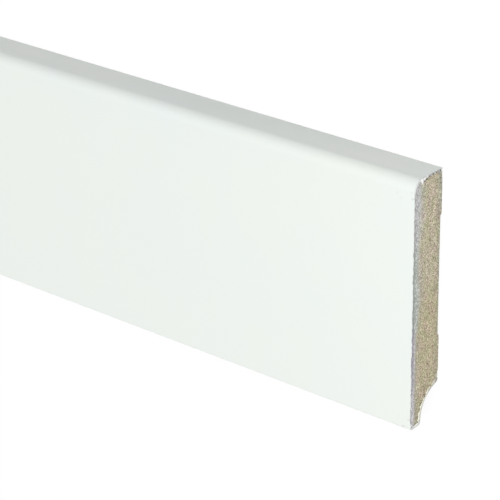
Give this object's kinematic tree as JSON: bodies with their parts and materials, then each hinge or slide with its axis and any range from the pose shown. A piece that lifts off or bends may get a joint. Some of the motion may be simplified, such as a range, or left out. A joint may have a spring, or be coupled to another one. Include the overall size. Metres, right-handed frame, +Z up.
{
  "type": "skirting board length",
  "caption": "White foil-wrapped MDF skirting board length with a rounded top front edge, a shallow relief in its back and a cove behind the foot.",
  "frame": {"origin": "under the middle of the board, on the level surface that its back lies on", "axes": "+X along the length to the sawn end that the picture shows, +Y from the floor edge to the rounded top edge, +Z up out of the show face"},
  "size_m": [2.4, 0.09, 0.015],
  "materials": {
    "raw_mdf": "raw medium-density fibreboard, planed back and sawn ends",
    "white_foil": "smooth satin white decorative film"
  },
  "bodies": {
    "root": {"mdf_core": "raw_mdf", "wrap_foil": "white_foil"}
  },
  "joints": []
}
